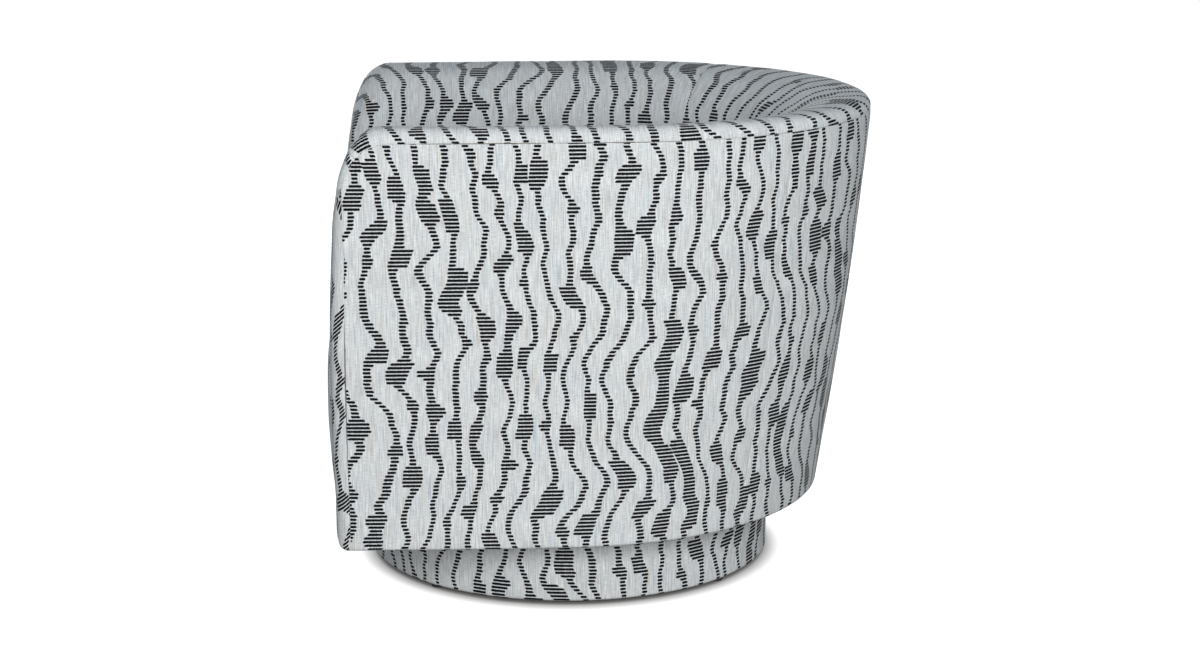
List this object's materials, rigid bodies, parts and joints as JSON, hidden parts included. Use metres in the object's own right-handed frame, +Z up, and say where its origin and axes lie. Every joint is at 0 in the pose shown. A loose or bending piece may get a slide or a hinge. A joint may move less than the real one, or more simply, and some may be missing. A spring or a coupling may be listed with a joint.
{
  "type": "swivel barrel chair",
  "caption": "Upholstered barrel chair: a raked tub with a rolled rim and a tight seat, turning on a ball bearing in a round covered plinth.",
  "frame": {"origin": "on the floor, under the middle of the chair's overall width and depth", "axes": "+Z up, the front of the seat faces -Y, +X towards the sitter's left arm; the swivel axis stands 44.5 mm in front of the origin"},
  "size_m": [0.742, 0.771, 0.668],
  "materials": {
    "cover_fabric": "woven pale grey ground with fine warm and cool vertical threads and dark navy dashes in wavering lines",
    "under_cloth": "black non-woven dust cloth",
    "timber": "planed beech, unfinished",
    "plywood": "birch plywood, sawn edges",
    "fibre_board": "brown fibre board",
    "pressed_steel": "pressed and zinc plated steel",
    "spring_steel": "oiled dark spring wire",
    "screw_steel": "bright zinc plated",
    "nylon": "moulded black nylon"
  },
  "bodies": {
    "plinth": {"floor_glide_1": "nylon", "floor_glide_2": "nylon", "floor_glide_3": "nylon", "floor_glide_4": "nylon", "plinth_ring": "timber", "plinth_top_board": "plywood", "plinth_cover": "cover_fabric", "swivel_lower_plate": "pressed_steel", "lower_plate_screw_1": "screw_steel", "lower_plate_screw_2": "screw_steel", "lower_plate_screw_3": "screw_steel", "lower_plate_screw_4": "screw_steel", "kingpin": "screw_steel", "kingpin_washer": "nylon"},
    "bearing_cage": {"ball_cage": "pressed_steel"},
    "tub": {"swivel_upper_plate": "pressed_steel", "upper_plate_screw_1": "screw_steel", "upper_plate_screw_2": "screw_steel", "upper_plate_screw_3": "screw_steel", "upper_plate_screw_4": "screw_steel", "swivel_mount_board": "plywood", "mount_board_bolt_1": "screw_steel", "mount_board_bolt_2": "screw_steel", "mount_board_bolt_3": "screw_steel", "mount_board_bolt_4": "screw_steel", "cross_bearer_front": "timber", "cross_bearer_rear": "timber", "floor_board": "plywood", "front_rail": "timber", "seat_rail": "plywood", "corner_block_right": "timber", "corner_block_left": "timber", "front_post_right": "timber", "front_post_left": "timber", "arm_post_right": "timber", "arm_post_left": "timber", "rear_post_right": "timber", "rear_post_left": "timber", "back_post_right": "timber", "back_post_left": "timber", "back_post_middle": "timber", "top_rail": "plywood", "wall_liner": "fibre_board", "seat_spring_1": "spring_steel", "seat_spring_2": "spring_steel", "seat_spring_3": "spring_steel", "seat_spring_4": "spring_steel", "seat_spring_5": "spring_steel", "spring_deck": "under_cloth", "seat_pad": "cover_fabric", "inside_arm_right": "cover_fabric", "inside_arm_left": "cover_fabric", "inside_back": "cover_fabric", "outside_arm_right": "cover_fabric", "outside_arm_left": "cover_fabric", "outside_back": "cover_fabric", "dust_cover": "under_cloth"}
  },
  "joints": [
    {"name": "swivel", "type": "hinge", "parent": "plinth", "child": "tub", "pos_m": [0, -0.0445, 0.0916], "axis": [0, 0, 1], "continuous": true},
    {"name": "ball_cage_orbit", "type": "hinge", "parent": "plinth", "child": "bearing_cage", "pos_m": [0, -0.0445, 0.0916], "axis": [0, 0, 1], "continuous": true}
  ],
  "couplings": [
    {"joint": "ball_cage_orbit", "follows": "swivel", "ratio": 0.5}
  ]
}
